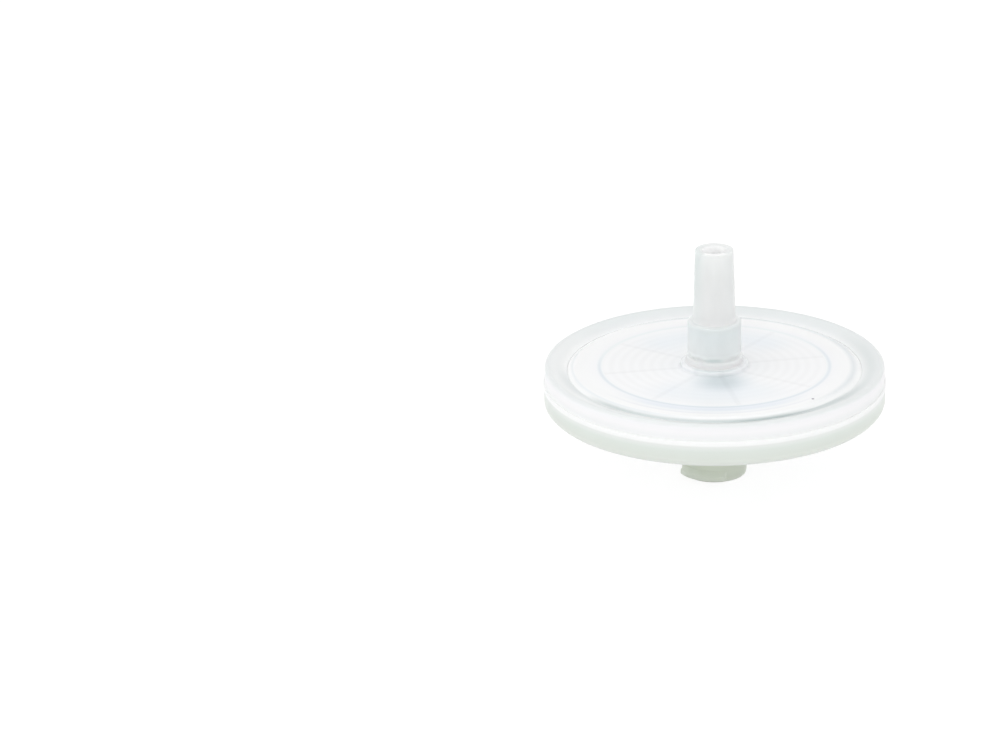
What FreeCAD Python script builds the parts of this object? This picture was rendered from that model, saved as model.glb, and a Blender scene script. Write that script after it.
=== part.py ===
import FreeCAD, Part
import os
import Sketcher

# Syringe filter with a female Luer lock inlet and a male Luer slip outlet.
#
# Two moulded polypropylene shells clamp a membrane disc between their ribbed faces, and a ring
# moulded round their flanges seals them. The filter stands on its inlet: the origin is the middle
# of the inlet's end face, +Z runs along the flow axis to the tip of the outlet. Millimetres.

# Driving dimensions: alias in the sheet, value, what it measures.
SIZES = [
    # Stack of the housing, from the inlet's end face upwards.
    ("hub_length", 7.9, "inlet hub, from its end face to the face of the inlet shell"),
    ("inlet_wall", 1.5, "wall of the inlet shell under its ribs"),
    ("inlet_rib", 0.45, "height of the inlet ribs"),
    ("upstream_gap", 0.35, "space between the inlet ribs and the membrane"),
    ("membrane_thick", 0.15, "thickness of the membrane"),
    ("outlet_rib", 0.45, "height of the ribs that carry the membrane"),
    ("outlet_wall", 1.1, "wall of the outlet shell over its ribs"),
    # Shell faces and the flange that the sealing ring grips.
    ("face_radius", 14.7, "flat part of a shell's face"),
    ("face_bevel", 0.15, "drop of the bevel round a shell's face"),
    ("shoulder_radius", 15.35, "wall of the raised face"),
    ("shoulder_drop", 0.45, "from the face down to the shoulder"),
    ("flange_radius", 16.3, "outer edge of both shells"),
    # Sealing ring.
    ("moat_width", 0.25, "groove left between a raised face and the ring"),
    ("ring_wall", 1.4, "wall of the ring round the flange, on the outlet half"),
    ("ring_step", 0.08, "how much wider the inlet half of the ring is"),
    ("ring_proud", 0.4, "height of the ring's crest over a shell's face"),
    ("ring_lip", 0.25, "height of the ring's inner lip over the shoulder"),
    ("ledge_proud", 0.15, "parting ledge, out from the ring wall"),
    ("ledge_rise", 1.85, "from the inlet shell's face to the underside of the ledge"),
    ("ledge_thick", 0.55, "parting ledge, along the axis"),
    ("ring_corner_outlet", 0.25, "broken outer corner on the outlet half"),
    ("ring_corner_inlet", 0.6, "broken outer corner on the inlet half"),
    # Membrane and its seat.
    ("membrane_radius", 13.0, "membrane disc"),
    ("membrane_play", 0.1, "radial clearance round the membrane in its seat"),
    # Ribbed faces: concentric ribs cut through by radial channels.
    ("chamber_radius", 12.2, "wall of the chamber"),
    ("rib_margin", 0.55, "from the wall of the chamber to the outermost rib"),
    ("rib_pitch", 1.08, "from one rib to the next"),
    ("channel_count", 8, "radial channels on each shell"),
    ("channel_width", 0.45, "width of a radial channel"),
    ("channel_sink", 0.1, "depth of a channel under the foot of the ribs"),
    ("channel_turn", 12.5, "turn of the first channel from +X, in degrees"),
    # Inlet: female Luer lock hub with two lugs.
    ("hub_end_radius", 3.38, "hub at its end face"),
    ("hub_base_radius", 3.5, "hub where it meets its boss"),
    ("hub_corner", 0.25, "broken edge of the hub's end face"),
    ("socket_radius", 2.15, "mouth of the inlet socket"),
    ("socket_depth", 7.6, "depth of the inlet socket"),
    ("luer_taper", 0.03, "loss of radius for each millimetre along a Luer cone"),
    ("inlet_hole_radius", 0.9, "hole from the socket to the chamber"),
    ("inlet_boss_radius", 4.0, "boss that the hub stands on"),
    ("inlet_boss_thick", 0.7, "height of that boss"),
    ("lug_radius", 3.85, "outer face of the lugs"),
    ("lug_bevel", 0.35, "height of the bevel below a lug's outer face"),
    ("lug_land", 0.45, "height of a lug's outer face"),
    ("lug_slope", 0.5, "height of the thread slope above a lug's outer face"),
    ("lug_arc", 90, "arc that a lug covers, in degrees"),
    ("lug_turn", 65, "turn of the first lug from +X, in degrees"),
    # Outlet: male Luer slip with its collar.
    ("tip_radius", 1.98, "outlet cone at its end"),
    ("cone_length", 7.77, "outlet cone, from the collar to the tip"),
    ("tip_corner", 0.2, "broken edge of the cone's end"),
    ("bore_radius", 1.1, "flow bore of the outlet"),
    ("collar_radius", 2.8, "collar under the cone"),
    ("collar_length", 3.38, "height of the collar"),
    ("collar_corner", 0.15, "broken top edge of the collar"),
    ("neck_radius", 2.5, "neck between the collar and its foot"),
    ("neck_length", 0.45, "height of the neck"),
    ("foot_radius", 2.9, "foot under the neck"),
    ("foot_thick", 0.7, "height of the foot"),
    ("outlet_boss_radius", 3.55, "boss under the foot"),
    ("outlet_boss_thick", 0.5, "height of that boss"),
    ("well_radius", 2.6, "smallest well in the middle of a ribbed face"),
]

# Heights along the axis, as expressions over the sheet.
INLET_FACE = "Sizes.hub_length"
INLET_FLOOR = INLET_FACE + " + Sizes.inlet_wall"
INLET_TIPS = INLET_FLOOR + " + Sizes.inlet_rib"
PARTING = INLET_TIPS + " + Sizes.upstream_gap"
OUTLET_TIPS = PARTING + " + Sizes.membrane_thick"
OUTLET_FLOOR = OUTLET_TIPS + " + Sizes.outlet_rib"
OUTLET_FACE = OUTLET_FLOOR + " + Sizes.outlet_wall"
BOSS_TOP = OUTLET_FACE + " + Sizes.outlet_boss_thick"
FOOT_TOP = BOSS_TOP + " + Sizes.foot_thick"
NECK_TOP = FOOT_TOP + " + Sizes.neck_length"
COLLAR_TOP = NECK_TOP + " + Sizes.collar_length"
TIP = COLLAR_TOP + " + Sizes.cone_length"

# Radii that follow from others.
RIB_ZONE_RADIUS = "(Sizes.chamber_radius - Sizes.rib_margin)"
RING_RADIUS = "Sizes.flange_radius + Sizes.ring_wall"

doc = FreeCAD.newDocument("SyringeFilter")


def fill_sheet():
    """The spreadsheet that holds every driving dimension."""
    sheet = doc.addObject("Spreadsheet::Sheet", "Sizes")
    for row, (alias, value, meaning) in enumerate(SIZES, start=1):
        sheet.set(f"A{row}", meaning)
        sheet.set(f"B{row}", str(value))
        sheet.setAlias(f"B{row}", alias)
    doc.recompute()
    return sheet


sizes = fill_sheet()


def value(expression):
    """A number worked out from the sheet."""
    return float(sizes.evalExpression(expression.replace("Sizes.", "")))


def new_body(label):
    body = doc.addObject("PartDesign::Body", label)
    body.Label = label
    return body


def origin_feature(body, role):
    return next(part for part in body.Origin.OriginFeatures if part.Role == role)


def new_sketch(body, name, role):
    sketch = body.newObject("Sketcher::SketchObject", name)
    sketch.AttachmentSupport = [(origin_feature(body, role), "")]
    sketch.MapMode = "FlatFace"
    return sketch


def pin(sketch, kind, line, end, expression):
    """Holds one coordinate of a line's end at a distance from the sketch's origin."""
    index = sketch.addConstraint(Sketcher.Constraint(kind, line, end, value(expression)))
    sketch.setExpression(f"Constraints[{index}]", expression)


def add_outline(sketch, corners):
    """A closed outline of straight lines through corners given as pairs of expressions."""
    first = sketch.GeometryCount
    points = [FreeCAD.Vector(value(across), value(up), 0) for across, up in corners]
    for start, end in zip(points, points[1:] + points[:1]):
        sketch.addGeometry(Part.LineSegment(start, end), False)
    for step, (across, up) in enumerate(corners):
        line = first + step
        following = first + (step + 1) % len(corners)
        sketch.addConstraint(Sketcher.Constraint("Coincident", line, 2, following, 1))
        for kind, axis, expression in (("DistanceX", -2, across), ("DistanceY", -1, up)):
            if expression == "0":
                sketch.addConstraint(Sketcher.Constraint("PointOnObject", line, 1, axis))
            else:
                pin(sketch, kind, line, 1, expression)


def section(body, name, outlines):
    """A sketch of radius across and height up, in the plane through the flow axis."""
    sketch = new_sketch(body, name, "XZ_Plane")
    for corners in outlines:
        add_outline(sketch, corners)
    return sketch


def turned(body, kind, sketch, name):
    """A Revolution or a Groove of a section round the flow axis."""
    feature = body.newObject(kind, name)
    feature.Profile = sketch
    feature.ReferenceAxis = (sketch, ["V_Axis"])
    feature.Angle = 360
    sketch.Visibility = False
    doc.recompute()
    return feature


def nearest_circle(shape, radius, height):
    """Name of the circular edge that lies nearest to a radius and a height."""
    misses = {}
    for number, edge in enumerate(shape.Edges, start=1):
        if isinstance(edge.Curve, Part.Circle):
            off_radius = edge.Curve.Radius - value(radius)
            off_height = edge.Curve.Center.z - value(height)
            misses[f"Edge{number}"] = abs(off_radius) + abs(off_height)
    return min(misses, key=misses.get)


def broken(body, radius, height, size, name):
    """A chamfer along the circular edge at a radius and a height."""
    base = body.Tip
    chamfer = body.newObject("PartDesign::Chamfer", name)
    chamfer.Base = (base, [nearest_circle(base.Shape, radius, height)])
    chamfer.setExpression("Size", size)
    doc.recompute()
    return chamfer


def ribs_in_section(floor, tips):
    """Corners of the ribs, pointed in section, from the outermost foot to the crest round the well."""
    room = value(RIB_ZONE_RADIUS + " - Sizes.well_radius")
    count = int(room / value("Sizes.rib_pitch") + 0.5)
    corners = []
    for number in range(count):
        corners.append((f"{RIB_ZONE_RADIUS} - {number} * Sizes.rib_pitch", floor))
        corners.append((f"{RIB_ZONE_RADIUS} - {number + 0.5} * Sizes.rib_pitch", tips))
    return corners


def cut_channels(body, tips, height, hole_radius, upwards):
    """Cuts a radial channel through the ribs, from the hole outwards, and repeats it round the axis."""
    sketch = new_sketch(body, body.Label + "_channel_sketch", "XY_Plane")
    sketch.AttachmentOffset = FreeCAD.Placement(
        FreeCAD.Vector(0, 0, value(tips)),
        FreeCAD.Rotation(FreeCAD.Vector(0, 0, 1), value("Sizes.channel_turn")),
    )
    sketch.setExpression("AttachmentOffset.Base.z", tips)
    sketch.setExpression("AttachmentOffset.Rotation.Angle", "Sizes.channel_turn")
    half = "Sizes.channel_width / 2"
    inner = hole_radius + " / 2"
    outer = "Sizes.chamber_radius - Sizes.rib_margin / 2"
    add_outline(sketch, [(inner, "-" + half), (outer, "-" + half), (outer, half), (inner, half)])
    channel = body.newObject("PartDesign::Pocket", body.Label + "_channel")
    channel.Profile = sketch
    channel.Reversed = upwards
    channel.setExpression("Length", height + " + Sizes.channel_sink")
    sketch.Visibility = False
    doc.recompute()
    channels = body.newObject("PartDesign::PolarPattern", body.Label + "_channels")
    channels.Originals = [channel]
    channels.Axis = (origin_feature(body, "Z_Axis"), [""])
    channels.Angle = 360
    channels.setExpression("Occurrences", "Sizes.channel_count")
    body.Tip = channels
    doc.recompute()
    return channels


def make_inlet_shell():
    """Lower shell: flange, bevelled face, boss, Luer socket with two lugs, ribbed inner face."""
    body = new_body("inlet_shell")
    hub_foot = INLET_FACE + " - Sizes.inlet_boss_thick"
    socket_end = "Sizes.socket_radius - Sizes.luer_taper * Sizes.socket_depth"
    outline = section(body, "inlet_section", [[
        ("Sizes.socket_radius", "0"),
        ("Sizes.hub_end_radius", "0"),
        ("Sizes.hub_base_radius", hub_foot),
        ("Sizes.inlet_boss_radius", hub_foot),
        ("Sizes.inlet_boss_radius", INLET_FACE),
        ("Sizes.face_radius", INLET_FACE),
        ("Sizes.shoulder_radius", INLET_FACE + " + Sizes.face_bevel"),
        ("Sizes.shoulder_radius", INLET_FACE + " + Sizes.shoulder_drop"),
        ("Sizes.flange_radius", INLET_FACE + " + Sizes.shoulder_drop"),
        ("Sizes.flange_radius", PARTING),
        ("Sizes.chamber_radius", PARTING),
        ("Sizes.chamber_radius", INLET_FLOOR),
        *ribs_in_section(INLET_FLOOR, INLET_TIPS),
        ("Sizes.inlet_hole_radius", INLET_FLOOR),
        ("Sizes.inlet_hole_radius", "Sizes.socket_depth"),
        (socket_end, "Sizes.socket_depth"),
    ]])
    turned(body, "PartDesign::Revolution", outline, "inlet_form")
    broken(body, "Sizes.hub_end_radius", "0", "Sizes.hub_corner", "hub_edge")
    cut_channels(body, INLET_TIPS, "Sizes.inlet_rib", "Sizes.inlet_hole_radius", False)
    add_lugs(body)
    return body


def add_lugs(body):
    """Two opposite lugs on the hub's end, which a locking syringe's collar screws over."""
    root = "(Sizes.socket_radius + Sizes.hub_end_radius) / 2"
    land_top = "Sizes.lug_bevel + Sizes.lug_land"
    sketch = section(body, "lug_section", [[
        (root, "Sizes.hub_corner"),
        ("Sizes.hub_end_radius", "Sizes.hub_corner"),
        ("Sizes.lug_radius", "Sizes.lug_bevel"),
        ("Sizes.lug_radius", land_top),
        ("Sizes.hub_end_radius", land_top + " + Sizes.lug_slope"),
        (root, land_top + " + Sizes.lug_slope"),
    ]])
    sketch.AttachmentOffset = FreeCAD.Placement(
        FreeCAD.Vector(0, 0, 0),
        FreeCAD.Rotation(FreeCAD.Vector(0, 1, 0), value("Sizes.lug_turn")),
    )
    sketch.setExpression("AttachmentOffset.Rotation.Angle", "Sizes.lug_turn")
    lug = body.newObject("PartDesign::Revolution", "lug")
    lug.Profile = sketch
    lug.ReferenceAxis = (sketch, ["V_Axis"])
    lug.Midplane = True
    lug.setExpression("Angle", "Sizes.lug_arc")
    sketch.Visibility = False
    doc.recompute()
    lugs = body.newObject("PartDesign::PolarPattern", "lugs")
    lugs.Originals = [lug]
    lugs.Axis = (origin_feature(body, "Z_Axis"), [""])
    lugs.Angle = 360
    lugs.Occurrences = 2
    body.Tip = lugs
    doc.recompute()


def make_outlet_shell():
    """Upper shell: flange, bevelled face, boss, neck, collar, Luer cone, ribbed inner face."""
    body = new_body("outlet_shell")
    cone_base = "Sizes.tip_radius + Sizes.luer_taper * Sizes.cone_length"
    seat = "Sizes.membrane_radius + Sizes.membrane_play"
    outline = section(body, "outlet_section", [[
        ("Sizes.bore_radius", OUTLET_FLOOR),
        *reversed(ribs_in_section(OUTLET_FLOOR, OUTLET_TIPS)),
        ("Sizes.chamber_radius", OUTLET_FLOOR),
        ("Sizes.chamber_radius", OUTLET_TIPS),
        (seat, OUTLET_TIPS),
        (seat, PARTING),
        ("Sizes.flange_radius", PARTING),
        ("Sizes.flange_radius", OUTLET_FACE + " - Sizes.shoulder_drop"),
        ("Sizes.shoulder_radius", OUTLET_FACE + " - Sizes.shoulder_drop"),
        ("Sizes.shoulder_radius", OUTLET_FACE + " - Sizes.face_bevel"),
        ("Sizes.face_radius", OUTLET_FACE),
        ("Sizes.outlet_boss_radius", OUTLET_FACE),
        ("Sizes.outlet_boss_radius", BOSS_TOP),
        ("Sizes.foot_radius", BOSS_TOP),
        ("Sizes.foot_radius", FOOT_TOP),
        ("Sizes.neck_radius", FOOT_TOP),
        ("Sizes.neck_radius", NECK_TOP),
        ("Sizes.collar_radius", NECK_TOP),
        ("Sizes.collar_radius", COLLAR_TOP),
        (cone_base, COLLAR_TOP),
        ("Sizes.tip_radius", TIP),
        ("Sizes.bore_radius", TIP),
    ]])
    turned(body, "PartDesign::Revolution", outline, "outlet_form")
    broken(body, "Sizes.tip_radius", TIP, "Sizes.tip_corner", "tip_edge")
    broken(body, "Sizes.collar_radius", COLLAR_TOP, "Sizes.collar_corner", "collar_edge")
    cut_channels(body, OUTLET_TIPS, "Sizes.outlet_rib", "Sizes.bore_radius", True)
    return body


def make_membrane():
    """Flat filter disc, seated on the outlet ribs and clamped at its edge."""
    body = new_body("membrane")
    sketch = new_sketch(body, "membrane_sketch", "XY_Plane")
    sketch.AttachmentOffset = FreeCAD.Placement(
        FreeCAD.Vector(0, 0, value(PARTING)), FreeCAD.Rotation()
    )
    sketch.setExpression("AttachmentOffset.Base.z", PARTING)
    centre = FreeCAD.Vector(0, 0, 0)
    upright = FreeCAD.Vector(0, 0, 1)
    radius = value("Sizes.membrane_radius")
    circle = sketch.addGeometry(Part.Circle(centre, upright, radius), False)
    sketch.addConstraint(Sketcher.Constraint("Coincident", circle, 3, -1, 1))
    index = sketch.addConstraint(Sketcher.Constraint("Radius", circle, radius))
    sketch.setExpression(f"Constraints[{index}]", "Sizes.membrane_radius")
    disc = body.newObject("PartDesign::Pad", "membrane_disc")
    disc.Profile = sketch
    disc.setExpression("Length", "Sizes.membrane_thick")
    sketch.Visibility = False
    doc.recompute()
    return body


def make_sealing_ring():
    """Ring moulded round both flanges: two lips, dished faces and a ledge at the parting line."""
    body = new_body("sealing_ring")
    lip_radius = "Sizes.shoulder_radius + Sizes.moat_width"
    inlet_shoulder = INLET_FACE + " + Sizes.shoulder_drop"
    outlet_shoulder = OUTLET_FACE + " - Sizes.shoulder_drop"
    inlet_wall = RING_RADIUS + " + Sizes.ring_step"
    ledge = RING_RADIUS + " + Sizes.ledge_proud"
    ledge_bottom = INLET_FACE + " + Sizes.ledge_rise"
    ledge_top = ledge_bottom + " + Sizes.ledge_thick"
    inlet_crest = INLET_FACE + " - Sizes.ring_proud"
    outlet_crest = OUTLET_FACE + " + Sizes.ring_proud"
    outline = section(body, "ring_section", [[
        (lip_radius, inlet_shoulder),
        (lip_radius, inlet_shoulder + " - Sizes.ring_lip"),
        (inlet_wall + " - Sizes.ring_corner_inlet", inlet_crest),
        (inlet_wall, inlet_crest + " + Sizes.ring_corner_inlet"),
        (inlet_wall, ledge_bottom),
        (ledge, ledge_bottom),
        (ledge, ledge_top),
        (RING_RADIUS, ledge_top),
        (RING_RADIUS, outlet_crest + " - Sizes.ring_corner_outlet"),
        (RING_RADIUS + " - Sizes.ring_corner_outlet", outlet_crest),
        (lip_radius, outlet_shoulder + " + Sizes.ring_lip"),
        (lip_radius, outlet_shoulder),
        ("Sizes.flange_radius", outlet_shoulder),
        ("Sizes.flange_radius", inlet_shoulder),
    ]])
    turned(body, "PartDesign::Revolution", outline, "ring_form")
    return body


def check_and_write(bodies):
    """Stops on any failed object or shape, then writes each sub-part to its own file."""
    doc.recompute()
    for item in doc.Objects:
        if "Invalid" in item.State or "Error" in item.State:
            raise RuntimeError(f"{item.Label} failed: {item.State}")
    os.makedirs("parts", exist_ok=True)
    for body in bodies:
        if body.Shape.isNull() or not body.Shape.isValid():
            raise RuntimeError(f"{body.Label} has no valid shape")
    for body in bodies:
        body.Shape.exportStep(f"parts/{body.Label}.step")
        print(f"{body.Label}: {body.Shape.Volume:.2f} mm3, {len(body.Shape.Solids)} solid")


check_and_write([
    make_inlet_shell(),
    make_membrane(),
    make_outlet_shell(),
    make_sealing_ring(),
])
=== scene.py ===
import math

import bpy
import numpy as np
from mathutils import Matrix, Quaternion, Vector


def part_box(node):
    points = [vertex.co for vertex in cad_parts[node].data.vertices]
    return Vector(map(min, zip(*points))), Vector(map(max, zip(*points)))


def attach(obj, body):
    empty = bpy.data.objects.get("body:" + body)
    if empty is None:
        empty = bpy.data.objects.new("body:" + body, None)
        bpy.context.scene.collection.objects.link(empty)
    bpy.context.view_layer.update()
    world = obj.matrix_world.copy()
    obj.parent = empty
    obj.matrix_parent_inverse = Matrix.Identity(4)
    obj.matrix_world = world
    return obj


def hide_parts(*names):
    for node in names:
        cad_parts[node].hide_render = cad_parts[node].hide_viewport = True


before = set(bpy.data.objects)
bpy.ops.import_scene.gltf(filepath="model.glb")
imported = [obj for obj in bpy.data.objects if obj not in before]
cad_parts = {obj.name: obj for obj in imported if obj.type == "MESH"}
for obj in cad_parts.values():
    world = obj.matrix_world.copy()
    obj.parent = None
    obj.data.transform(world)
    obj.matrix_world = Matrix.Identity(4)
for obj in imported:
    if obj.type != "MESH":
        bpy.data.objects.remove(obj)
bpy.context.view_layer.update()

# ---------------------------------------------------------------------------------------------
# Membrane: a thin microporous disc, cast as a white polymer film and punched out. It lies on the
# ribs of the outlet shell and is clamped at its edge between the two shells.
# ---------------------------------------------------------------------------------------------
MM = 0.001
HAIR = 0.012  # mm left between pieces that touch, so that each keeps a surface of its own
PIN_HOLE = 0.01  # mm: the disc's middle, left open so that the grid closes without a pole
PUNCHED_EDGE = 0.02  # mm: the rounding that the punch leaves
CORNER_STEPS = 4  # points on a rounded corner
SHARP_FROM = math.radians(40)  # edges that turn by more than this look sharp
membrane_low, membrane_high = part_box("membrane")
membrane_radius = membrane_high.x / MM
membrane_floor = membrane_low.z / MM
membrane_top = membrane_high.z / MM


def linear(hex_colour):
    """The linear RGBA of an sRGB colour written as six hexadecimal digits."""
    srgb = np.array([int(hex_colour[i:i + 2], 16) / 255 for i in (0, 2, 4)])
    low = srgb / 12.92
    high = ((srgb + 0.055) / 1.055) ** 2.4
    return (*np.where(srgb <= 0.04045, low, high), 1.0)


def rounded_outline(corners, steps=CORNER_STEPS):
    """A closed outline from corners given as radius, height and rounding, all in mm. Each corner is
    a quadratic arc: (1-t)^2 A + 2t(1-t) C + t^2 B, where A and B lie on its two sides, as far from
    the corner C as the rounding says, but at most 45 percent along a side."""
    corners = np.array(corners, float)
    points = corners[:, :2]
    before = np.roll(points, 1, axis=0) - points
    after = np.roll(points, -1, axis=0) - points
    t = np.linspace(0, 1, steps)[None, :, None]
    ends = []
    for side in (before, after):
        length = np.linalg.norm(side, axis=1)
        reach = np.minimum(corners[:, 2], 0.45 * length) / length
        ends.append((points + side * reach[:, None])[:, None, :])
    arc = (1 - t) ** 2 * ends[0] + 2 * t * (1 - t) * points[:, None, :] + t ** 2 * ends[1]
    return arc.reshape(-1, 2)


def closed_grid(name, grid):
    """A mesh from a grid of points, in mm, that closes on itself in both directions: each point is
    joined to the next along the outline and to the next round the axis."""
    rows, columns = grid.shape[:2]
    index = np.arange(rows * columns).reshape(rows, columns)
    right = np.roll(index, -1, axis=1)
    quads = np.stack([index, right, np.roll(right, -1, axis=0), np.roll(index, -1, axis=0)], -1)
    mesh = bpy.data.meshes.new(name)
    mesh.from_pydata((grid.reshape(-1, 3) * MM).tolist(), [], quads.reshape(-1, 4).tolist())
    mesh.update()
    mesh.shade_smooth()
    mesh.set_sharp_from_angle(angle=SHARP_FROM)
    piece = bpy.data.objects.new(name, mesh)
    bpy.context.collection.objects.link(piece)
    return piece


def turned(outline, columns):
    """Points of an outline turned round the flow axis: (r cos a, r sin a, z) for even angles a."""
    angle = np.linspace(0, 2 * np.pi, columns, endpoint=False)[None, :]
    radius = outline[:, :1]
    height = np.broadcast_to(outline[:, 1:], (len(outline), columns))
    return np.stack([radius * np.cos(angle), radius * np.sin(angle), height], -1)


def add_node(tree, kind, settings=None, values=(), **inputs):
    """A node of that kind with its settings, and with its inputs set or linked: the values by
    their place, the others by name."""
    node = tree.nodes.new(kind)
    for key, value in (settings or {}).items():
        setattr(node, key, value)
    named = {key.replace("_", " "): value for key, value in inputs.items()}
    for key, value in (*enumerate(values), *named.items()):
        socket = node.inputs[key]
        if isinstance(value, bpy.types.NodeSocket):
            tree.links.new(value, socket)
        else:
            socket.default_value = value
    return node


def new_material(name):
    """An empty node material and its output node."""
    material = bpy.data.materials.new(name)
    material.use_nodes = True
    material.node_tree.nodes.clear()
    return material, material.node_tree, material.node_tree.nodes.new("ShaderNodeOutputMaterial")


def microporous_film():
    """Cast microporous polymer film: matt and white, because its pores scatter all light."""
    material, tree, output = new_material("microporous_film")
    place = add_node(tree, "ShaderNodeTexCoord").outputs["Object"]
    pores_per_metre = 9000.0  # the real pores are under a micrometre: drawn as a 0.1 mm mottle
    mottle = add_node(tree, "ShaderNodeTexNoise", Vector=place, Scale=pores_per_metre, Detail=3.0)
    tint = add_node(tree, "ShaderNodeValToRGB", Fac=mottle.outputs["Fac"])
    tint.color_ramp.elements[0].color = linear("eef1f1")
    tint.color_ramp.elements[1].color = linear("fbfcfc")
    bump = add_node(tree, "ShaderNodeBump", Strength=0.2, Distance=0.02 * MM,
                    Height=mottle.outputs["Fac"])
    film = add_node(tree, "ShaderNodeBsdfPrincipled", Base_Color=tint.outputs["Color"],
                    Roughness=0.9, IOR=1.42, Normal=bump.outputs["Normal"])
    tree.links.new(film.outputs[0], output.inputs["Surface"])
    return material


membrane_outline = rounded_outline([
    (PIN_HOLE, membrane_floor + HAIR, 0.0),
    (membrane_radius, membrane_floor + HAIR, PUNCHED_EDGE),
    (membrane_radius, membrane_top - HAIR, PUNCHED_EDGE),
    (PIN_HOLE, membrane_top - HAIR, 0.0),
])
membrane = closed_grid("membrane_disc", turned(membrane_outline, columns=128))
membrane.data.materials.append(microporous_film())
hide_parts("membrane")
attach(membrane, "root")

# ---------------------------------------------------------------------------------------------
# Outlet shell: the upper moulding, injection moulded in natural polypropylene. Its flange lies on
# the inlet shell's, its pointed ribs carry the membrane, and its stem ends in the Luer slip cone.
# ---------------------------------------------------------------------------------------------
outlet_low, outlet_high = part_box("outlet_shell")
ring_low, ring_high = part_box("sealing_ring")
parting = outlet_low.z / MM
tip_height = outlet_high.z / MM
flange_radius = outlet_high.x / MM
RING_PROUD = 0.4  # the ring's crest over the face
outlet_face = ring_high.z / MM - RING_PROUD
RIB_HEIGHT = 0.45
outlet_tips = membrane_top
outlet_floor = outlet_tips + RIB_HEIGHT
SEAT_GAP = 0.1  # round the membrane's edge
SHOULDER_RADIUS, SHOULDER_DROP = 15.35, 0.45
FACE_RADIUS, EDGE_DROP = 14.7, 0.38
CHAMBER_RADIUS, RIB_ZONE_RADIUS = 12.2, 11.65
RIB_PITCH, RIBS, RIB_ROUND = 1.08, 8, 0.1
CHANNELS, CHANNEL_TURN = 8, math.radians(12.5)
CHANNEL_HALF, CHANNEL_SINK, CHANNEL_EDGE = 0.225, 0.1, 0.05
NEAR = 0.01  # mm within which a radius or a height counts as the same


def ribs_in_section(foot, crest):
    """Corners of the concentric ribs, from the one round the well to the outermost one's foot."""
    outwards = np.arange(2 * RIBS)[::-1]
    radii = RIB_ZONE_RADIUS - outwards * RIB_PITCH / 2
    heights = np.where(outwards % 2, crest, foot)
    return [(radius, height, RIB_ROUND) for radius, height in zip(radii, heights)]


def channelled(outline, foot, crest, columns=22):
    """Points of an outline turned round the flow axis, with radial channels cut through its ribs.
    The columns beside a channel keep their distance d from its middle line, so their angle is
    asin(d / r), and the columns between two channels share out the rest of the sector evenly. In a
    channel, heights between the ribs' foot and crest become the channel's floor."""
    wall = CHANNEL_HALF + CHANNEL_EDGE
    across = np.array([-wall, -CHANNEL_HALF, -CHANNEL_HALF / 2, CHANNEL_HALF / 2, CHANNEL_HALF, wall])
    uncut = np.concatenate([[1.0, 0, 0, 0, 0, 1.0], np.ones(columns)])
    radius = outline[:, :1]
    beside = np.arcsin(np.clip(across / radius, -1, 1))
    edge = beside[:, -1:]
    share = np.arange(1, columns + 1) / (columns + 1)
    sector = 2 * np.pi / CHANNELS
    between = edge + share * (sector - 2 * edge)
    one = np.concatenate([beside, between], axis=1)
    turns = CHANNEL_TURN + sector * np.arange(CHANNELS)
    angle = (one[:, None, :] + turns[None, :, None]).reshape(len(outline), -1)
    low, high = min(foot, crest) - NEAR, max(foot, crest) + NEAR
    height = outline[:, 1:]
    ribbed = (radius < RIB_ZONE_RADIUS + NEAR) & (height > low) & (height < high)
    floor = foot + np.sign(foot - crest) * CHANNEL_SINK
    cut = np.tile(1 - uncut, CHANNELS)[None, :] * ribbed
    heights = height + cut * (floor - height)
    return np.stack([radius * np.cos(angle), radius * np.sin(angle), heights], -1)


def graded(tree, value, stops):
    """A colour that changes evenly between stops, each a value and a colour, from the lowest up."""
    lowest, highest = stops[0][0], stops[-1][0]
    share = add_node(tree, "ShaderNodeMapRange", Value=value, From_Min=lowest, From_Max=highest)
    ramp = add_node(tree, "ShaderNodeValToRGB", Fac=share.outputs["Result"])
    for at, colour in stops[1:-1]:
        ramp.color_ramp.elements.new((at - lowest) / (highest - lowest))
    for stop, (at, colour) in zip(ramp.color_ramp.elements, stops):
        stop.color = linear(colour)
    return ramp.outputs["Color"]


def in_plan(tree, place):
    """The place in mm as seen along the flow axis, and its distance from that axis."""
    plan = add_node(tree, "ShaderNodeVectorMath", {"operation": "MULTIPLY"},
                    (place, (1 / MM, 1 / MM, 0))).outputs["Vector"]
    radius = add_node(tree, "ShaderNodeVectorMath", {"operation": "LENGTH"}, (plan,))
    return plan, radius.outputs["Value"]


def off_circle(tree, distance, radius):
    """How far a distance from the flow axis is from that radius, on either side of it."""
    beyond = add_node(tree, "ShaderNodeMath", {"operation": "SUBTRACT"}, (distance, radius))
    return add_node(tree, "ShaderNodeMath", {"operation": "ABSOLUTE"},
                    (beyond.outputs[0],)).outputs[0]


BLENDED = {"data_type": "RGBA"}
MULTIPLIED = {"data_type": "RGBA", "blend_type": "MULTIPLY"}


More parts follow.
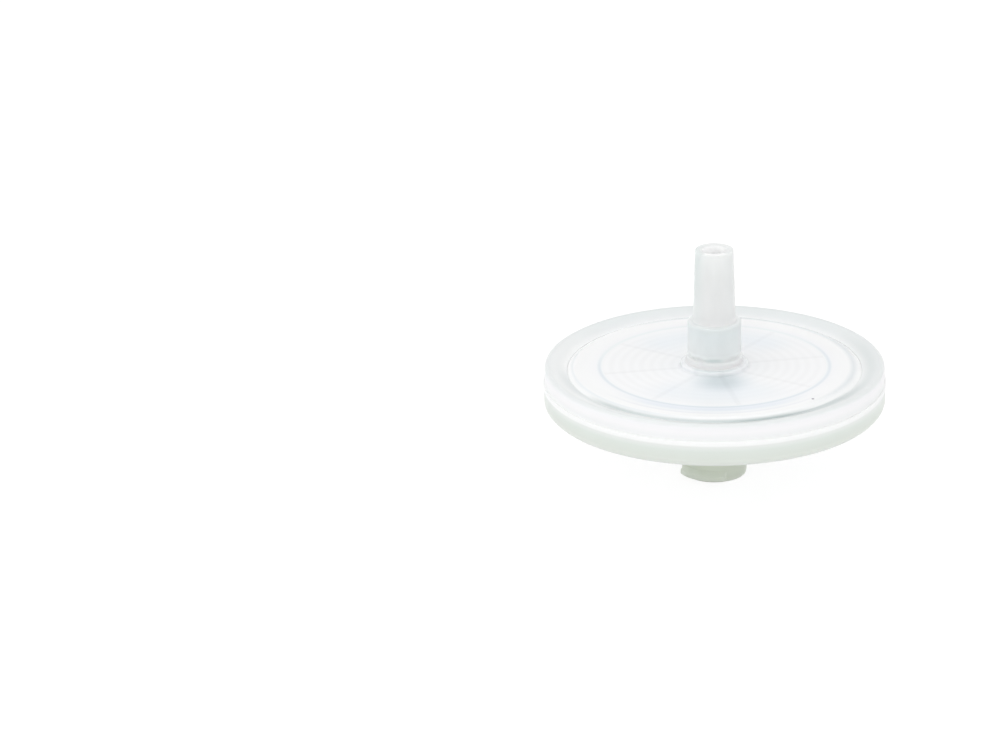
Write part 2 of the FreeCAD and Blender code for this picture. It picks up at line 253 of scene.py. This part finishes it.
def along_arc(tree, tint, place, radius, half, towards, reach, colour):
    """The tint times a colour along an arc. The factor falls from one on the circle of that radius
    to none at half on either side of it, and along the circle it rises from none to one as the
    cosine of the angle to the direction goes through the reach. The direction is an angle from the
    front, -y, towards the right, +x."""
    plan, distance = in_plan(tree, place)
    on_circle = add_node(tree, "ShaderNodeMapRange", {"interpolation_type": "SMOOTHSTEP"},
                         Value=off_circle(tree, distance, radius), From_Max=half, To_Min=1.0,
                         To_Max=0.0)
    along = add_node(tree, "ShaderNodeVectorMath", {"operation": "DOT_PRODUCT"},
                     (plan, (math.sin(towards), -math.cos(towards), 0)))
    cosine = add_node(tree, "ShaderNodeMath", {"operation": "DIVIDE"},
                      (along.outputs["Value"], distance))
    on_side = add_node(tree, "ShaderNodeMapRange", {"interpolation_type": "SMOOTHSTEP"},
                       Value=cosine.outputs[0], From_Min=reach[0], From_Max=reach[1])
    both = add_node(tree, "ShaderNodeMath", {"operation": "MULTIPLY"},
                    (on_circle.outputs["Result"], on_side.outputs["Result"]))
    return add_node(tree, "ShaderNodeMix", MULTIPLIED, Factor=both.outputs[0], A=tint,
                    B=linear(colour)).outputs["Result"]


def in_spot(tree, place, middle, spans, core):
    """One within a share of an ellipsoid, its core, and falling to none at its skin. Its middle and
    spans are in mm: the distance from its middle is taken after each part is divided by its span."""
    in_mm = add_node(tree, "ShaderNodeVectorMath", {"operation": "SCALE"}, (place,), Scale=1 / MM)
    away = add_node(tree, "ShaderNodeVectorMath", {"operation": "SUBTRACT"},
                    (in_mm.outputs["Vector"], middle))
    share = add_node(tree, "ShaderNodeVectorMath", {"operation": "DIVIDE"},
                     (away.outputs["Vector"], spans))
    off = add_node(tree, "ShaderNodeVectorMath", {"operation": "LENGTH"},
                   (share.outputs["Vector"],))
    return add_node(tree, "ShaderNodeMapRange", {"interpolation_type": "SMOOTHERSTEP"},
                    Value=off.outputs["Value"], From_Min=core, To_Min=1.0,
                    To_Max=0.0).outputs["Result"]


def by_height(*stops):
    """A tint that follows the height in mm. Its stops carry painted light and shade along the flow
    axis."""
    def tint(tree, place):
        heights = add_node(tree, "ShaderNodeVectorMath", {"operation": "SCALE"}, (place,),
                           Scale=1 / MM)
        part = add_node(tree, "ShaderNodeSeparateXYZ", Vector=heights.outputs["Vector"])
        return graded(tree, part.outputs["Z"], stops)
    return tint


# Painted shade for the ribs and channels under the plate, drawn as darker stripes and lines in its
# colour
PAINTED_RIB_SHADE, PAINTED_CHANNEL_SHADE = 0.032, 0.045
FAINT_SHARE = 0.35  # of a rib's shade, in front and behind
FAINT_TO, FULL_FROM = 0.5, 0.85  # |x| / r up to which a stripe is faint, and from which it is full
STRIPE_PITCH, STRIPE_AT = 1.05, 10.75  # light bends in the plate, so a stripe is beside its rib


def painted_over_ribs(tree, place):
    """The tint of a plate with ribs and channels under it, with painted shade for how they show
    through
    the plate: near white, with a bluish painted line at the chamber's wall, and a little greyer near
    the axis and towards the flange's rim. It follows the radius r in mm, then loses a share of
    painted shade that goes as cos(2 pi (r - R) / p) for stripes of pitch p, one of them at R, which
    are fainter in front and behind than at the sides, and another share within a channel's width of
    its middle line."""
    plan, radius = in_plan(tree, place)
    tint = graded(tree, radius, [
        (0.0, "f3f5f7"), (3.6, "f3f5f7"), (3.8, "fafcff"),
        (7.0, "fcfdff"), (11.6, "fcfdff"), (11.88, "f2f7f9"), (12.07, "f2f7f9"),
        (12.35, "fafbfe"), (13.2, "fdfeff"), (15.4, "feffff"), (18.0, "eef1f1"),
    ])
    from_edge = add_node(tree, "ShaderNodeMath", {"operation": "SUBTRACT"}, (radius, STRIPE_AT))
    phase = add_node(tree, "ShaderNodeMath", {"operation": "MULTIPLY"},
                     (from_edge.outputs[0], 2 * math.pi / STRIPE_PITCH))
    wave = add_node(tree, "ShaderNodeMath", {"operation": "COSINE"}, (phase.outputs[0],))
    part = add_node(tree, "ShaderNodeSeparateXYZ", Vector=plan)
    sideways = add_node(tree, "ShaderNodeMath", {"operation": "DIVIDE"},
                        (part.outputs["X"], radius))
    to_side = add_node(tree, "ShaderNodeMath", {"operation": "ABSOLUTE"}, (sideways.outputs[0],))
    depth = add_node(tree, "ShaderNodeMapRange", {"interpolation_type": "SMOOTHSTEP"},
                     Value=to_side.outputs[0], From_Min=FAINT_TO, From_Max=FULL_FROM,
                     To_Min=PAINTED_RIB_SHADE * FAINT_SHARE, To_Max=PAINTED_RIB_SHADE)
    over_foot = add_node(tree, "ShaderNodeMapRange", Value=wave.outputs[0], From_Min=-1.0,
                         From_Max=1.0, To_Min=0.0, To_Max=depth.outputs["Result"])
    turn = add_node(tree, "ShaderNodeMath", {"operation": "ARCTAN2"},
                    (part.outputs["Y"], part.outputs["X"]))
    from_channel = add_node(tree, "ShaderNodeMath", {"operation": "SUBTRACT"},
                            (turn.outputs[0], CHANNEL_TURN))
    folded = add_node(tree, "ShaderNodeMath", {"operation": "PINGPONG"},
                      (from_channel.outputs[0], math.pi / CHANNELS))
    sine = add_node(tree, "ShaderNodeMath", {"operation": "SINE"}, (folded.outputs[0],))
    across = add_node(tree, "ShaderNodeMath", {"operation": "MULTIPLY"},
                      (sine.outputs[0], radius))
    in_channel = add_node(tree, "ShaderNodeMapRange", {"interpolation_type": "SMOOTHSTEP"},
                          Value=across.outputs[0], From_Min=CHANNEL_HALF / 2,
                          From_Max=CHANNEL_HALF * 2, To_Min=PAINTED_CHANNEL_SHADE, To_Max=0.0)
    both = add_node(tree, "ShaderNodeMath", {"operation": "ADD"},
                    (over_foot.outputs["Result"], in_channel.outputs["Result"]))
    ribbed = add_node(tree, "ShaderNodeMath", {"operation": "LESS_THAN"},
                      (radius, RIB_ZONE_RADIUS))
    lost = add_node(tree, "ShaderNodeMath", {"operation": "MULTIPLY"},
                    (both.outputs[0], ribbed.outputs[0]))
    kept = add_node(tree, "ShaderNodeMath", {"operation": "SUBTRACT"}, (1.0, lost.outputs[0]))
    shaded = add_node(tree, "ShaderNodeVectorMath", {"operation": "SCALE"}, (tint,),
                      Scale=kept.outputs[0])
    return shaded.outputs["Vector"]


def polypropylene(name, tint_of, clearness, spread, depth, roughness, haze_mm):
    """Natural polypropylene, injection moulded: clear in a thin wall and milky in a thick one, with
    a soft gloss and a faint unevenness where it shrank. A share of the light spreads in it, by the
    depth in mm, but not where ring and shells meet: there both end in a thin edge. Along a path of
    d mm, light falls as exp(-(1 - c) d / haze), where c is the haze's colour."""
    sink_marks_per_metre = 350.0  # shallow hollows about 3 mm apart
    grain_per_metre, grain_share = 6000.0, 0.15  # the fine finish of the mould, about 0.17 mm
    joint_end, joint_reach = 0.15, 0.9  # mm: none spreads up to the first, its share from the second
    material, tree, output = new_material(name)
    place = add_node(tree, "ShaderNodeTexCoord").outputs["Object"]
    off_joint = off_circle(tree, in_plan(tree, place)[1], SHOULDER_RADIUS)
    spreading = add_node(tree, "ShaderNodeMapRange", {"interpolation_type": "SMOOTHSTEP"},
                         Value=off_joint, From_Min=joint_end, From_Max=joint_reach, To_Max=spread)
    sink_marks = add_node(tree, "ShaderNodeTexNoise", Vector=place, Scale=sink_marks_per_metre,
                          Detail=2.0)
    grain = add_node(tree, "ShaderNodeTexNoise", Vector=place, Scale=grain_per_metre, Detail=3.0)
    uneven = add_node(tree, "ShaderNodeMath", {"operation": "MULTIPLY_ADD"},
                      (grain.outputs["Fac"], grain_share, sink_marks.outputs["Fac"]))
    bump = add_node(tree, "ShaderNodeBump", Strength=0.15, Distance=0.03 * MM,
                    Height=uneven.outputs[0])
    shader = add_node(tree, "ShaderNodeBsdfPrincipled", Base_Color=tint_of(tree, place),
                      Roughness=roughness, IOR=1.49, Transmission_Weight=clearness,
                      Subsurface_Weight=spreading.outputs["Result"],
                      Subsurface_Scale=depth * MM, Subsurface_Radius=(1.0, 1.0, 1.0),
                      Normal=bump.outputs["Normal"])
    tree.links.new(shader.outputs[0], output.inputs["Surface"])
    haze = add_node(tree, "ShaderNodeVolumeAbsorption", Color=linear("b9c9c0"),
                    Density=1.0 / (haze_mm * MM))
    tree.links.new(haze.outputs[0], output.inputs["Volume"])
    return material


BORE = 1.1  # its radius
BOSS_RADIUS, BOSS_TOP = 3.55, outlet_face + 0.5
FOOT_RADIUS, FOOT_TOP = 2.9, outlet_face + 1.2
NECK_RADIUS, NECK_TOP = 2.5, outlet_face + 1.65
COLLAR_RADIUS, COLLAR_TOP = 2.8, outlet_face + 5.03
TIP_RADIUS, LUER_TAPER = 1.98, 0.03
cone_base = TIP_RADIUS + LUER_TAPER * (tip_height - COLLAR_TOP)
outlet_shoulder = outlet_face - SHOULDER_DROP
outlet_outline = rounded_outline([
    (BORE, outlet_floor, 0.05),
    *ribs_in_section(outlet_floor, outlet_tips),
    (CHAMBER_RADIUS, outlet_floor, 0.1),
    (CHAMBER_RADIUS, outlet_tips, 0.05),
    (membrane_radius + SEAT_GAP, outlet_tips, 0.03),
    (membrane_radius + SEAT_GAP, parting + HAIR, 0.03),
    (flange_radius, parting + HAIR, 0.05),
    (flange_radius, outlet_shoulder, 0.05),
    (SHOULDER_RADIUS, outlet_shoulder, 0.03),
    (SHOULDER_RADIUS, outlet_face - EDGE_DROP, 0.02),
    (FACE_RADIUS, outlet_face, 0.25),
    (BOSS_RADIUS, outlet_face, 0.3),
    (BOSS_RADIUS, BOSS_TOP, 0.22),
    (FOOT_RADIUS, BOSS_TOP, 0.25),
    (FOOT_RADIUS, FOOT_TOP, 0.2),
    (NECK_RADIUS, FOOT_TOP, 0.15),
    (NECK_RADIUS, NECK_TOP, 0.08),
    (COLLAR_RADIUS, NECK_TOP, 0.08),
    (COLLAR_RADIUS, COLLAR_TOP, 0.2),
    (cone_base, COLLAR_TOP, 0.3),
    (TIP_RADIUS, tip_height, 0.12),
    (BORE, tip_height, 0.4),
])
outlet_grid = channelled(outlet_outline, outlet_floor, outlet_tips)
outlet = closed_grid("outlet_shell_moulding", outlet_grid)


def outlet_plate(tree, place):
    """The plate's tint with painted shade: bluish arcs in front and behind, the lines of the
    chamber's wall, of the gap under the edge and round the boss, each clearer on one side; a soft
    grey painted shade in front of the boss; and a dark fleck near the edge, which is the moulding's
    own."""
    tint = painted_over_ribs(tree, place)
    # Painted shade: each arc darkens or cools the plate along part of a circle, on one side
    for arc_radius, half, towards, reach, colour in (
        (8.5, 5.0, 0.0, (0.55, 0.9), "f4f7fa"),
        (8.5, 5.0, math.pi, (0.4, 0.8), "f2f6fa"),
        (12.7, 1.1, 0.0, (0.55, 0.95), "eef2f7"),
        (12.0, 0.3, 0.2, (-0.6, -0.05), "f2f3f7"),
        (13.65, 0.35, 0.0, (0.5, 0.9), "f4f5f8"),
        (14.5, 0.6, 2.3, (-0.2, 0.5), "e6e9eb"),
        (14.8, 0.25, -math.pi / 2, (0.0, 0.5), "f0f3f5"),
        (15.2, 0.4, -0.15, (0.6, 0.85), "d3dada"),
        (15.3, 0.2, 0.6, (0.83, 0.97), "dbe1e1"),
        (3.3, 0.4, 0.0, (0.6, 1.0), "e6ebeb"),
    ):
        tint = along_arc(tree, tint, place, arc_radius, half, towards, reach, colour)
    # Painted shade in front of the boss; the fleck after it is a real speck in the plastic
    painted_shade_by_boss = in_spot(tree, place, middle=(0.7, -4.7, outlet_face), spans=(4.6, 4.4, 0.35),
                        core=0.0)
    fleck = in_spot(tree, place, middle=(10.05, -9.65, outlet_face), spans=(0.2, 0.2, 0.2),
                    core=0.5)
    for mark, colour in ((painted_shade_by_boss, "dbe2e3"), (fleck, "8f8996")):
        tint = add_node(tree, "ShaderNodeMix", MULTIPLIED, Factor=mark, A=tint,
                        B=linear(colour)).outputs["Result"]
    return tint


# Painted light and shade by height: near white on boss, foot and neck, darker down the collar to its
# top edge, light at the cone's foot, darker towards the tip
stem_painted_by_height = by_height(
    (outlet_face, "fdfefe"),
    (BOSS_TOP, "fafcfc"),
    (FOOT_TOP, "f4fcfb"),
    (NECK_TOP, "f6fdfc"),
    (NECK_TOP + 0.4, "e6ebeb"),
    (COLLAR_TOP - 0.8, "d8dfe0"),
    (COLLAR_TOP - 0.2, "d1d8d8"),
    (COLLAR_TOP - 0.03, "d4dada"),
    (COLLAR_TOP + 0.1, "f8f9f9"),
    (COLLAR_TOP + 0.7, "f1f3f3"),
    (COLLAR_TOP + 2.0, "eff2f1"),
    (tip_height - 2.0, "e5e8e7"),
    (tip_height - 0.3, "d9dcdb"),
    (tip_height, "d6d9d8"),
)


def stem_tint(tree, place):
    """The stem's tint by height, with painted shade on the cone's two sides and in front of the neck,
    and painted light in its bore and a painted highlight on a spot of its lip."""
    tint = stem_painted_by_height(tree, place)
    # Painted shade on the cone's left and right sides
    for towards, colour in ((-math.pi / 2, "e9f0ef"), (math.pi / 2, "f5f6f6")):
        tint = along_arc(tree, tint, place, radius=1.9, half=0.75, towards=towards,
                         reach=(0.3, 1.0), colour=colour)
    # Painted shade in front of the neck
    painted_neck_shade = in_spot(tree, place, middle=(0.0, -NECK_RADIUS, FOOT_TOP + 0.2),
                         spans=(1.8, 0.6, 0.35), core=0.0)
    tint = add_node(tree, "ShaderNodeMix", MULTIPLIED, Factor=painted_neck_shade, A=tint,
                    B=linear("edf1f1")).outputs["Result"]
    # Painted light in the bore and a painted highlight on the front of the lip
    painted_bore_light = add_node(tree, "ShaderNodeMapRange", Value=in_plan(tree, place)[1],
                       From_Min=BORE + 0.2, From_Max=BORE + 0.05)
    painted_lip_highlight = in_spot(tree, place, middle=(0.0, -1.4, tip_height), spans=(1.4, 0.65, 0.25),
                       core=0.4)
    white = add_node(tree, "ShaderNodeMath", {"operation": "MAXIMUM"},
                     (painted_bore_light.outputs["Result"], painted_lip_highlight))
    return add_node(tree, "ShaderNodeMix", BLENDED, Factor=white.outputs[0], A=tint,
                    B=linear("ffffff")).outputs["Result"]


def face_heights(piece):
    """The height in mm of the middle of each face."""
    middles = np.zeros(len(piece.data.polygons) * 3)
    piece.data.polygons.foreach_get("center", middles)
    return middles.reshape(-1, 3)[:, 2] / MM


EDGE_BAND = 0.02  # mm past a flat, where its finish still holds
stem_milky = polypropylene("milky_polypropylene_stem", stem_tint, clearness=0.05, spread=1.0,
                           depth=4.0, roughness=0.3, haze_mm=80.0)
plate_clear = polypropylene("clear_polypropylene_outlet", outlet_plate, clearness=0.1, spread=0.5,
                            depth=0.6, roughness=0.22, haze_mm=80.0)
outlet.data.materials.append(plate_clear)
outlet.data.materials.append(stem_milky)
on_stem = (face_heights(outlet) > BOSS_TOP + EDGE_BAND).astype(int)
outlet.data.polygons.foreach_set("material_index", on_stem)
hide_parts("outlet_shell")
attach(outlet, "root")

# ---------------------------------------------------------------------------------------------
# Inlet shell: the lower moulding, in the same natural polypropylene. Its hub is a female Luer lock
# with two lugs, and its ribs face the membrane from below without touching it.
# ---------------------------------------------------------------------------------------------
inlet_face = ring_low.z / MM + RING_PROUD
INLET_WALL = 1.5
inlet_floor = inlet_face + INLET_WALL
inlet_tips = inlet_floor + RIB_HEIGHT
FACE_BEVEL = 0.15
HUB_END_RADIUS, HUB_BASE_RADIUS = 3.38, 3.5
SOCKET_RADIUS, SOCKET_DEPTH = 2.15, 7.6
INLET_HOLE = 0.9  # its radius
INLET_BOSS_RADIUS, INLET_BOSS_THICK = 4.0, 0.7
hub_foot = inlet_face - INLET_BOSS_THICK
inlet_shoulder = inlet_face + SHOULDER_DROP
inlet_outline = rounded_outline([
    (SOCKET_RADIUS, 0.0, 0.12),
    (HUB_END_RADIUS, 0.0, 0.3),
    (HUB_BASE_RADIUS, hub_foot, 0.3),
    (INLET_BOSS_RADIUS, hub_foot, 0.15),
    (INLET_BOSS_RADIUS, inlet_face, 0.15),
    (FACE_RADIUS, inlet_face, 0.3),
    (SHOULDER_RADIUS, inlet_face + FACE_BEVEL, 0.15),
    (SHOULDER_RADIUS, inlet_shoulder, 0.08),
    (flange_radius, inlet_shoulder, 0.05),
    (flange_radius, parting - HAIR, 0.05),
    (CHAMBER_RADIUS, parting - HAIR, 0.05),
    (CHAMBER_RADIUS, inlet_floor, 0.1),
    *ribs_in_section(inlet_floor, inlet_tips)[::-1],
    (INLET_HOLE, inlet_floor, 0.05),
    (INLET_HOLE, SOCKET_DEPTH, 0.05),
    (SOCKET_RADIUS - LUER_TAPER * SOCKET_DEPTH, SOCKET_DEPTH, 0.1),
])
LUG_TURN, LUG_ARC, LUG_END = math.radians(65), math.radians(90), math.radians(6)
LUG_RADIUS, LUG_BEVEL, LUG_LAND, LUG_SLOPE = 3.85, 0.35, 0.45, 0.5
LUG_ROWS = np.arange(0.3, 1.5, 0.05)  # heights in mm of the rows of points that shape the lugs
HUB_CORNER = 0.25
HUB_SKIN = 0.1  # mm under the hub's end radius that still count as its skin


def with_lugs(grid):
    """The hub's skin pushed out to the lugs: the radius grows by a trapezium of the height, from
    the bevel over the land to the thread slope, and by a flat-topped window of the angle, which
    falls off over the end of each lug. Above the slope the trapezium is none."""
    x, y, z = np.moveaxis(grid, -1, 0)
    radius = np.hypot(x, y)
    angle = np.arctan2(y, x)
    off = np.abs((angle - LUG_TURN + np.pi / 2) % np.pi - np.pi / 2)
    window = np.clip((LUG_ARC / 2 - off) / LUG_END + 0.5, 0, 1)
    rise = np.clip((z - HUB_CORNER) / (LUG_BEVEL - HUB_CORNER), 0, 1)
    fall = np.clip((LUG_BEVEL + LUG_LAND + LUG_SLOPE - z) / LUG_SLOPE, 0, 1)
    skin = radius > HUB_END_RADIUS - HUB_SKIN
    out = np.where(skin, window * rise * fall * (LUG_RADIUS - radius), 0)
    scale = (radius + out) / radius
    return np.stack([x * scale, y * scale, z], -1)


def with_lug_rows(outline):
    """The outline with more points on the side that runs up the hub's skin, one at each height h of
    the lugs' rows: start + (h - start height) / (rise of the side) times the side."""
    parts = []
    for start, end in zip(outline, np.roll(outline, -1, axis=0)):
        parts.append(start[None])
        if start[1] < LUG_ROWS[-1] < end[1]:
            share = ((LUG_ROWS - start[1]) / (end[1] - start[1]))[:, None]
            parts.append(start + share * (end - start))
    return np.concatenate(parts)


inlet_grid = with_lugs(channelled(with_lug_rows(inlet_outline), inlet_floor, inlet_tips))
inlet = closed_grid("inlet_shell_moulding", inlet_grid)
# The thick plastic's own greenish grey, with painted shade that darkens it from its end up to its
# foot under the disc
hub_tint_and_shade = by_height(
    (0.0, "e7ece0"), (0.5, "dde4d5"), (hub_foot, "dae2d2"), (inlet_face, "e5ebe1"),
)
inlet.data.materials.append(
    polypropylene("clear_polypropylene_inlet", painted_over_ribs, clearness=0.1, spread=0.5, depth=1.0,
                  roughness=0.22, haze_mm=80.0))
inlet.data.materials.append(
    polypropylene("milky_polypropylene_hub", hub_tint_and_shade, clearness=0.1, spread=0.5, depth=2.0,
                  roughness=0.35, haze_mm=40.0))
on_hub = (face_heights(inlet) < inlet_face - EDGE_BAND).astype(int)
inlet.data.polygons.foreach_set("material_index", on_hub)
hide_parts("inlet_shell")
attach(inlet, "root")

# ---------------------------------------------------------------------------------------------
# Sealing ring: polypropylene moulded round both flanges once the membrane is in. It is thicker
# than the shells, so it looks milkier, and its ledge marks where the two mould halves met.
# ---------------------------------------------------------------------------------------------
ring_radius = ring_high.x / MM
ring_top, ring_bottom = ring_high.z / MM, ring_low.z / MM
LEDGE_PROUD, RING_STEP = 0.15, 0.08
LEDGE_RISE, LEDGE_THICK = 1.97, 0.55
LIP_RADIUS, LIP = SHOULDER_RADIUS + HAIR, 0.1
CREST_SINK, CREST_IN, CREST_DROP = 0.07, 0.35, 0.245
CORNER_INLET = 0.6
outlet_wall = ring_radius - LEDGE_PROUD
inlet_wall = outlet_wall + RING_STEP
crest_radius = outlet_wall - CREST_IN
ledge_bottom = inlet_face + LEDGE_RISE
ledge_top = ledge_bottom + LEDGE_THICK
ring_outline = rounded_outline([
    (LIP_RADIUS, outlet_shoulder + HAIR, 0.04),
    (LIP_RADIUS, outlet_shoulder + LIP, 0.02),
    (crest_radius, ring_top - CREST_SINK, 0.2),
    (outlet_wall, ring_top - CREST_SINK - CREST_DROP, 0.2),
    (outlet_wall, ledge_top, 0.05),
    (ring_radius, ledge_top, 0.12),
    (ring_radius, ledge_bottom, 0.08),
    (inlet_wall, ledge_bottom, 0.05),
    (inlet_wall, ring_bottom + CORNER_INLET, 0.3),
    (inlet_wall - CORNER_INLET, ring_bottom, 0.3),
    (LIP_RADIUS, inlet_shoulder - LIP, 0.12),
    (LIP_RADIUS, inlet_shoulder - HAIR, 0.04),
    (flange_radius + HAIR, inlet_shoulder - HAIR, 0.04),
    (flange_radius + HAIR, outlet_shoulder + HAIR, 0.04),
], steps=6)
# This outline runs clockwise and the shells' run the other way, so its columns are turned round too:
# that keeps its faces pointing outwards.
ring = closed_grid("sealing_ring_overmould", turned(ring_outline, columns=256)[:, ::-1])
# Painted light and shade by height: darker lower wall, a painted highlight along the ledge, and a
# greyer edge under the crest
ring_wall_painted_shade = by_height(
    (ring_bottom, "e1e4df"),
    (ring_bottom + 1.0, "dce1db"),
    (ledge_bottom - 0.6, "dee4df"),
    (ledge_bottom - 0.1, "e9ecea"),
    (ledge_bottom + 0.1, "f8f9f9"),
    (ledge_top - 0.15, "fafbfb"),
    (ledge_top + 0.05, "f4f5f5"),
    (ledge_top + 0.3, "f0f1f2"),
    (ring_top - 1.0, "f4f3f5"),
    (ring_top - 0.5, "f1f1f3"),
    (ring_top - 0.25, "e3e6e6"),
)


def ring_tint(tree, place):
    """The wall's tint by height, and inside the crest one by radius, both painted light and shade:
    white at the lip and greyer towards the crest, with soft greyer arcs of painted shade in front, on
    both sides of the front, and behind."""
    radius = in_plan(tree, place)[1]
    slope = graded(tree, radius, [
        (LIP_RADIUS, "fbfcfc"), (LIP_RADIUS + 0.3, "f9fafa"), (LIP_RADIUS + 0.8, "f3f5f5"),
        (crest_radius - 0.4, "edefef"), (crest_radius + 0.1, "e2e5e5"),
    ])
    # Painted shade: arcs that darken the slope along part of a circle, on one side
    for arc_radius, half, towards, reach, colour in (
        (16.2, 1.5, 0.85, (0.1, 0.6), "ecefef"),
        (15.6, 1.5, 0.65, (0.75, 1.0), "d6dcdc"),
        (15.6, 1.2, -1.0, (0.8, 1.0), "e6eaea"),
        (16.6, 1.6, 0.0, (0.93, 1.0), "f0f1f0"),
        (17.1, 1.8, math.pi, (0.3, 0.8), "f6f8f8"),
        (15.8, 1.3, math.pi, (0.3, 0.8), "f8f9fa"),
    ):
        slope = along_arc(tree, slope, place, arc_radius, half, towards, reach, colour)
    outside = add_node(tree, "ShaderNodeMapRange", Value=radius, From_Min=crest_radius - 0.1,
                       From_Max=crest_radius + 0.15)
    return add_node(tree, "ShaderNodeMix", BLENDED, Factor=outside.outputs["Result"], A=slope,
                    B=ring_wall_painted_shade(tree, place)).outputs["Result"]


ring.data.materials.append(
    polypropylene("milky_polypropylene_ring", ring_tint, clearness=0.08, spread=0.5, depth=0.7,
                  roughness=0.3, haze_mm=60.0))
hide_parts("sealing_ring")
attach(ring, "root")

# ---------------------------------------------------------------------------------------------
# Studio: a floor of white paper under a pale sky, four large soft lamps above, in front of and at
# the sides of the object, and the camera, which looks down on the disc by 21 degrees.
# ---------------------------------------------------------------------------------------------


def seen_directly(tree):
    """One for a ray from the camera, off a gloss or through clear plastic, else zero."""
    path = add_node(tree, "ShaderNodeLightPath")
    seen = path.outputs["Is Camera Ray"]
    for ray in ("Is Glossy Ray", "Is Transmission Ray"):
        seen = add_node(tree, "ShaderNodeMath", {"operation": "MAXIMUM"},
                        (seen, path.outputs[ray])).outputs[0]
    return seen


PAPER_GLOW = 0.86  # what the paper adds where it is seen directly, so that it looks plain white


def pale_surround():
    """White paper that lights the object from below. Seen directly it is plain white, and keeps a
    faint shadow of the object."""
    material, tree, output = new_material("white_paper")
    seen = seen_directly(tree)
    tone = add_node(tree, "ShaderNodeMix", BLENDED, Factor=seen, A=linear("f6f7f6"),
                    B=linear("7c7c7c"))
    paper = add_node(tree, "ShaderNodeBsdfDiffuse", Color=tone.outputs["Result"])
    bright = add_node(tree, "ShaderNodeMath", {"operation": "MULTIPLY"}, (seen, PAPER_GLOW))
    white = add_node(tree, "ShaderNodeEmission", Color=(1, 1, 1, 1), Strength=bright.outputs[0])
    both = add_node(tree, "ShaderNodeAddShader", None, (paper.outputs[0], white.outputs[0]))
    tree.links.new(both.outputs[0], output.inputs["Surface"])
    return material


HALF = 1.5  # m, half the floor's side
floor_mesh = bpy.data.meshes.new("floor")
floor_mesh.from_pydata([(-HALF, -HALF, 0), (HALF, -HALF, 0), (HALF, HALF, 0), (-HALF, HALF, 0)],
                       [], [(0, 1, 2, 3)])
floor = bpy.data.objects.new("floor", floor_mesh)
floor.data.materials.append(pale_surround())
bpy.context.collection.objects.link(floor)


def soft_lamp(name, place, aim, size, watts):
    """A square area lamp at a place, turned towards what it aims at, all in metres."""
    data = bpy.data.lights.new(name, "AREA")
    data.shape = "SQUARE"
    data.size = size
    data.energy = watts
    lamp = bpy.data.objects.new(name, data)
    lamp.location = place
    lamp.rotation_mode = "QUATERNION"
    lamp.rotation_quaternion = (Vector(aim) - Vector(place)).to_track_quat("-Z", "Y")
    bpy.context.collection.objects.link(lamp)


middle = Vector((0, 0, outlet_face * MM))
soft_lamp("top_lamp", (-0.08, 0.0, 0.42), middle, size=0.30, watts=0.26)
soft_lamp("front_lamp", (-0.03, -0.43, 0.13), middle, size=0.25, watts=0.20)
soft_lamp("left_lamp", (-0.42, -0.155, 0.13), middle, size=0.32, watts=0.25)
soft_lamp("right_lamp", (0.42, -0.155, 0.13), middle, size=0.32, watts=0.24)

world = bpy.data.worlds.new("studio")
bpy.context.scene.world = world
world.use_nodes = True
sky = world.node_tree
sky.nodes.clear()
AMBIENT_FRONT, AMBIENT_BACK = 0.96, 0.80  # the sky's strength towards -y and towards +y
way = add_node(sky, "ShaderNodeSeparateXYZ",
               Vector=add_node(sky, "ShaderNodeTexCoord").outputs["Generated"])
soft = add_node(sky, "ShaderNodeMapRange", Value=way.outputs["Y"], From_Min=-1.0, From_Max=1.0,
                To_Min=AMBIENT_FRONT, To_Max=AMBIENT_BACK)
level = add_node(sky, "ShaderNodeMapRange", Value=seen_directly(sky),
                 To_Min=soft.outputs["Result"], To_Max=1.0)
air = add_node(sky, "ShaderNodeBackground", Color=(1, 1, 1, 1), Strength=level.outputs["Result"])
world_out = add_node(sky, "ShaderNodeOutputWorld")
sky.links.new(air.outputs[0], world_out.inputs["Surface"])

DISTANCE, ELEVATION = 0.450, math.radians(20.9)  # m from the middle of the outlet's face
FOCAL = 155.232  # mm, on a sensor 36 mm wide
NEAR_CLIP = 0.01  # m
# Turned to the left and a little down, so that the object stands right of the middle and above it.
ASIDE, BELOW = math.radians(2.8452062), math.radians(0.1313026)
camera_data = bpy.data.cameras.new("camera")
camera_data.lens = FOCAL
camera_data.clip_start = NEAR_CLIP
camera = bpy.data.objects.new("camera", camera_data)
bpy.context.collection.objects.link(camera)
outwards = Vector((0, -math.cos(ELEVATION), math.sin(ELEVATION)))
camera.location = middle + DISTANCE * outwards
camera.rotation_mode = "QUATERNION"
camera.rotation_quaternion = (
    (-outwards).to_track_quat("-Z", "Y")
    @ Quaternion((0, 1, 0), ASIDE)
    @ Quaternion((1, 0, 0), -BELOW)
)
scene = bpy.context.scene
scene.camera = camera
scene.view_settings.view_transform = "Standard"
